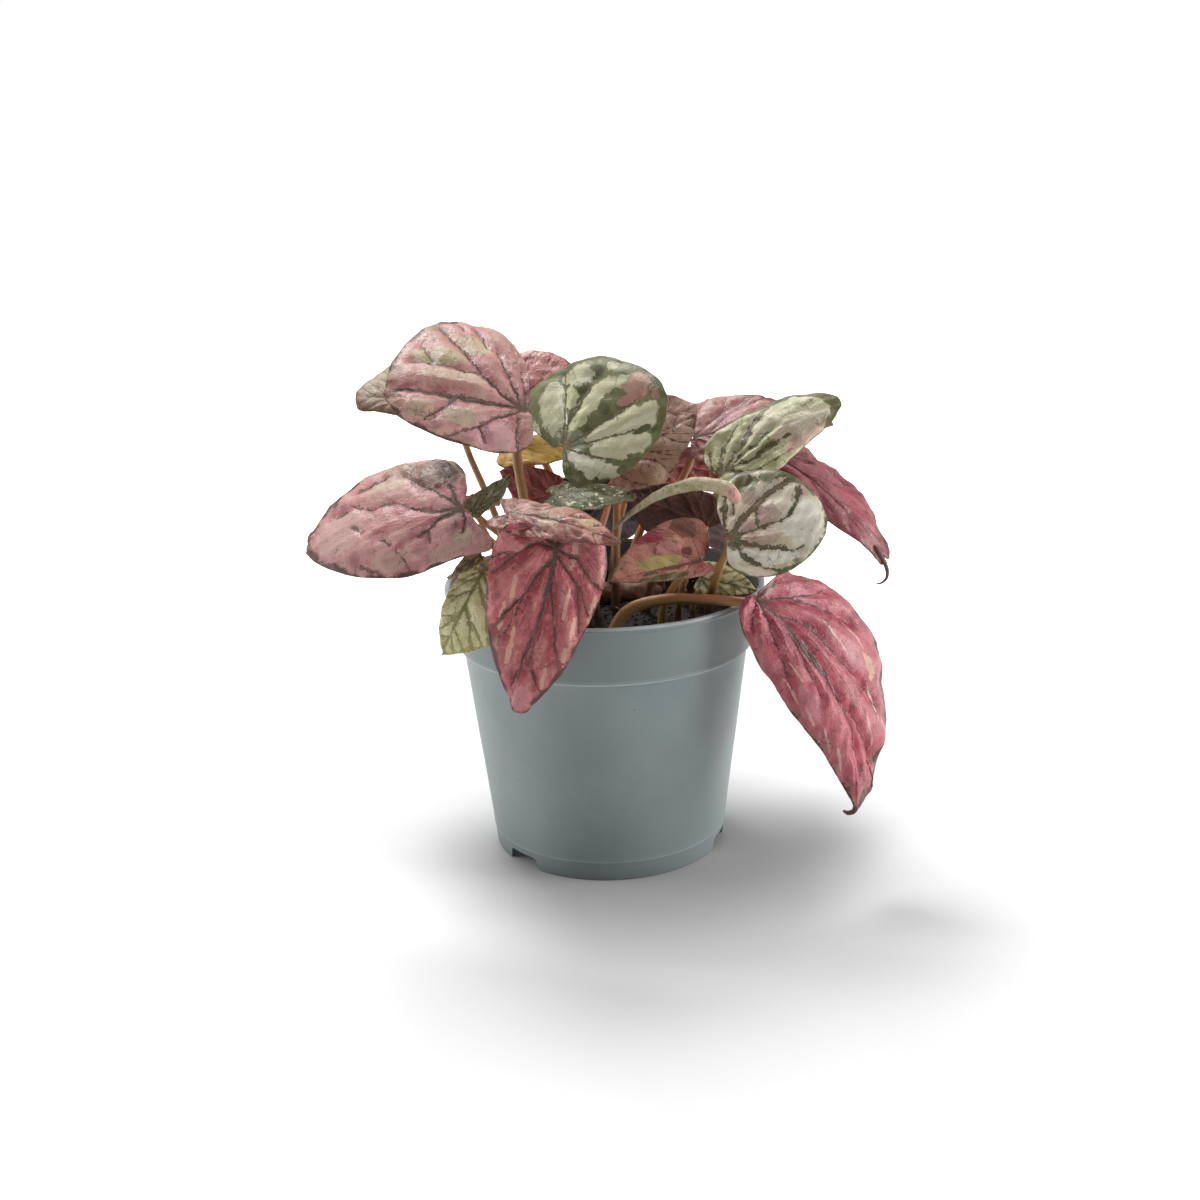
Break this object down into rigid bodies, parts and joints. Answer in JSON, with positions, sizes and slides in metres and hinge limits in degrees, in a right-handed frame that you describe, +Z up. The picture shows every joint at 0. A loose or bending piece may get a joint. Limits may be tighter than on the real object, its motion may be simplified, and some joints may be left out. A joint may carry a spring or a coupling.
{
  "type": "potted begonia",
  "caption": "Small painted-leaf begonia in a round tapered plastic nursery pot, with pink, red and silver-green puckered leaves that spread and hang over the rim.",
  "frame": {"origin": "on the surface that the pot stands on, at the centre of the whole object's box, which is the pot's axis to within a millimetre", "axes": "+Z up along the pot's axis, -Y towards the front that the big hanging leaf faces, +X to the right seen from the front"},
  "size_m": [0.2084, 0.1429, 0.1976],
  "materials": {
    "pot_plastic": "satin blue-grey moulded plastic",
    "soil": "damp dark peat with pale grains",
    "rhizome_skin": "rough brown creeping stem",
    "leaf_stalk": "orange-brown stalk with fine hairs",
    "leaf_pink": "puckered pink leaf with dark veins",
    "leaf_red": "puckered red leaf with dark veins",
    "leaf_silver_green": "silver panels on a dark green leaf",
    "leaf_olive": "olive to yellow leaf with green veins",
    "leaf_dry": "dry tan leaf"
  },
  "bodies": {
    "root": {"leaf_back_high": "leaf_pink", "leaf_back_left": "leaf_pink", "leaf_back_low": "leaf_red", "leaf_back_middle": "leaf_silver_green", "leaf_back_right": "leaf_pink", "leaf_back_upper": "leaf_pink", "leaf_behind_crown": "leaf_pink", "leaf_big_red": "leaf_red", "leaf_crown": "leaf_silver_green", "leaf_dry": "leaf_dry", "leaf_far_left": "leaf_olive", "leaf_far_right": "leaf_pink", "leaf_front": "leaf_red", "leaf_hollow": "leaf_silver_green", "leaf_inner": "leaf_red", "leaf_left": "leaf_pink", "leaf_low_left": "leaf_olive", "leaf_low_right": "leaf_olive", "leaf_ridge": "leaf_pink", "leaf_right_of_crown": "leaf_pink", "leaf_silver_round": "leaf_silver_green", "leaf_speckled": "leaf_silver_green", "leaf_thin": "leaf_olive", "leaf_top_back": "leaf_pink", "leaf_top_left": "leaf_pink", "leaf_upper_right": "leaf_silver_green", "leaf_yellow": "leaf_olive", "leaf_young": "leaf_red", "pot": "pot_plastic", "potting_soil": "soil", "rhizome": "rhizome_skin", "stalk_back_high": "leaf_stalk", "stalk_back_left": "leaf_stalk", "stalk_back_low": "leaf_stalk", "stalk_back_middle": "leaf_stalk", "stalk_back_right": "leaf_stalk", "stalk_back_upper": "leaf_stalk", "stalk_behind_crown": "leaf_stalk", "stalk_big_red": "leaf_stalk", "stalk_crown": "leaf_stalk", "stalk_dry": "leaf_stalk", "stalk_far_left": "leaf_stalk", "stalk_far_right": "leaf_stalk", "stalk_front": "leaf_stalk", "stalk_hollow": "leaf_stalk", "stalk_inner": "leaf_stalk", "stalk_left": "leaf_stalk", "stalk_low_left": "leaf_stalk", "stalk_low_right": "leaf_stalk", "stalk_ridge": "leaf_stalk", "stalk_right_of_crown": "leaf_stalk", "stalk_silver_round": "leaf_stalk", "stalk_speckled": "leaf_stalk", "stalk_thin": "leaf_stalk", "stalk_top_back": "leaf_stalk", "stalk_top_left": "leaf_stalk", "stalk_upper_right": "leaf_stalk", "stalk_yellow": "leaf_stalk", "stalk_young": "leaf_stalk"}
  },
  "joints": []
}
